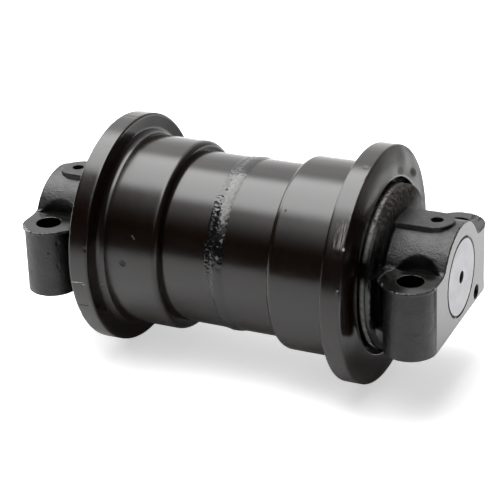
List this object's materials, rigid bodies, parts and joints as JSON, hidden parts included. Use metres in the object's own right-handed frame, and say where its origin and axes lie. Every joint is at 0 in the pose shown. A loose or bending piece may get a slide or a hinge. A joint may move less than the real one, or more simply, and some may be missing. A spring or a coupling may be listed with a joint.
{
  "type": "track roller",
  "caption": "Double-flange bottom roller of a tracked excavator: welded shell turning on a fixed shaft between two bolt-on end collars.",
  "frame": {"origin": "middle of the roller on its own axis", "axes": "+Y along the roller's axis towards the end with the oil port, +Z away from the flat faces that bolt to the track frame, +X across the track"},
  "size_m": [0.19, 0.3554, 0.19],
  "materials": {
    "shell_paint": "semi-gloss black paint",
    "collar_paint": "black paint over rough casting, machined faces smooth",
    "weld_paint": "black paint over a rough weld bead",
    "shaft_steel": "ground steel, painted black on the end faces",
    "bronze": "satin sintered bronze",
    "seal_iron": "lapped face, plain cast back",
    "rubber": "matte nitrile rubber",
    "dowel_steel": "ground steel",
    "plug_steel": "dark phosphated steel"
  },
  "bodies": {
    "root": {"shaft": "shaft_steel", "oil_fill_plug": "plug_steel", "oil_plug_oring": "rubber", "end_collar_left": "collar_paint", "end_collar_right": "collar_paint", "seal_ring_fixed_left": "seal_iron", "seal_ring_fixed_right": "seal_iron", "toric_fixed_left": "rubber", "toric_fixed_right": "rubber", "shaft_oring_left": "rubber", "shaft_oring_right": "rubber", "collar_dowel_left": "dowel_steel", "collar_dowel_right": "dowel_steel"},
    "roller_shell": {"shell_half_left": "shell_paint", "shell_half_right": "shell_paint", "centre_weld_bead": "weld_paint", "bush_left": "bronze", "bush_right": "bronze", "seal_ring_rotating_left": "seal_iron", "seal_ring_rotating_right": "seal_iron", "toric_rotating_left": "rubber", "toric_rotating_right": "rubber"}
  },
  "joints": [
    {"name": "roller_spin", "type": "hinge", "parent": "root", "child": "roller_shell", "pos_m": [0, 0, 0], "axis": [0, 1, 0], "continuous": true}
  ]
}
